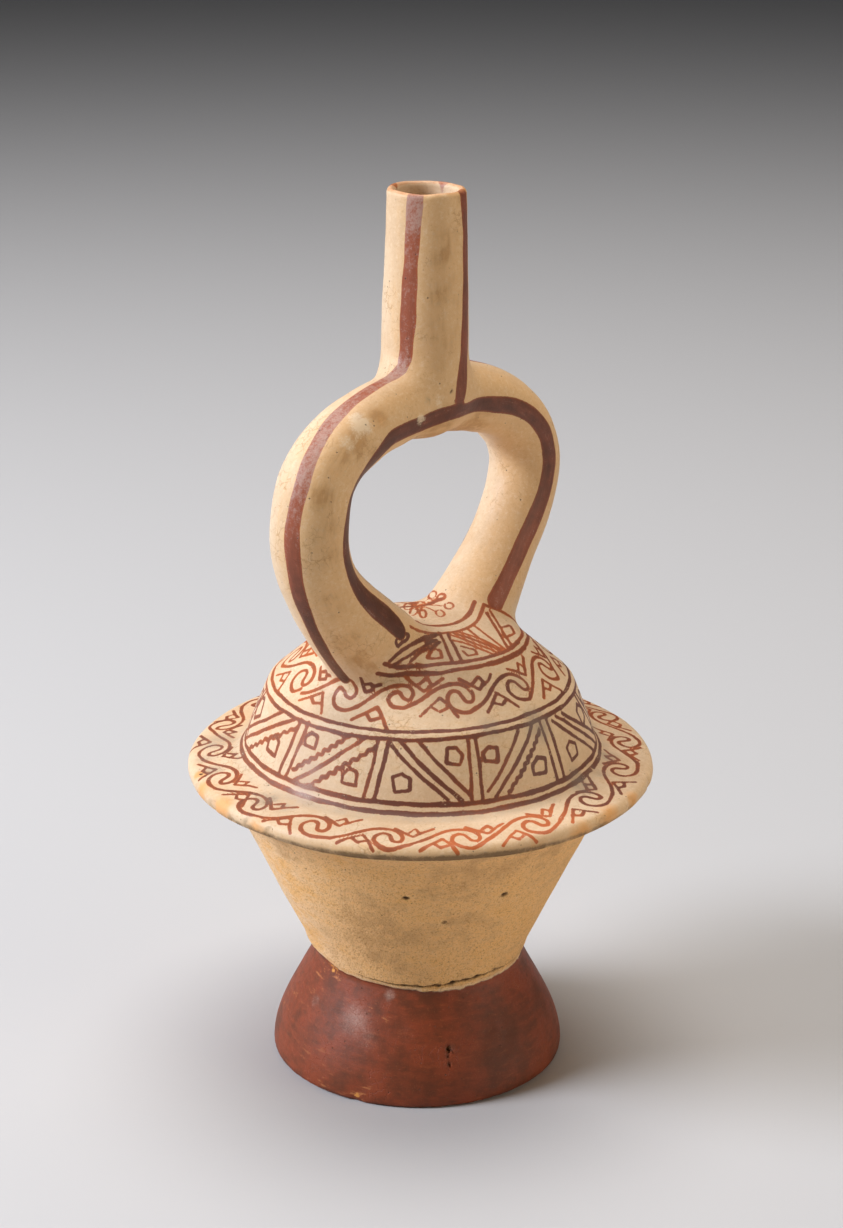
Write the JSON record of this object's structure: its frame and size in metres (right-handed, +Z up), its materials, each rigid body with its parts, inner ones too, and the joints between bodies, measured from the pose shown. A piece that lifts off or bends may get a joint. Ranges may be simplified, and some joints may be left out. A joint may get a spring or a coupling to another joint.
{
  "type": "stirrup spout vessel",
  "caption": "Hollow fired-clay vessel with a flaring ring foot, a cone, a wide flange and a dome, topped by a stirrup-shaped handle that joins into an upright spout.",
  "frame": {"origin": "centre of the foot ring's underside", "axes": "+Z up along the vessel's axis towards the spout, the stirrup in the XZ plane, its wider leg on the -X side"},
  "size_m": [0.1566, 0.1566, 0.3],
  "materials": {
    "slip_painted_clay": "burnished cream slip with red-brown slip painting and a red-brown foot, unglazed"
  },
  "bodies": {
    "root": {"vessel": "slip_painted_clay"}
  },
  "joints": []
}
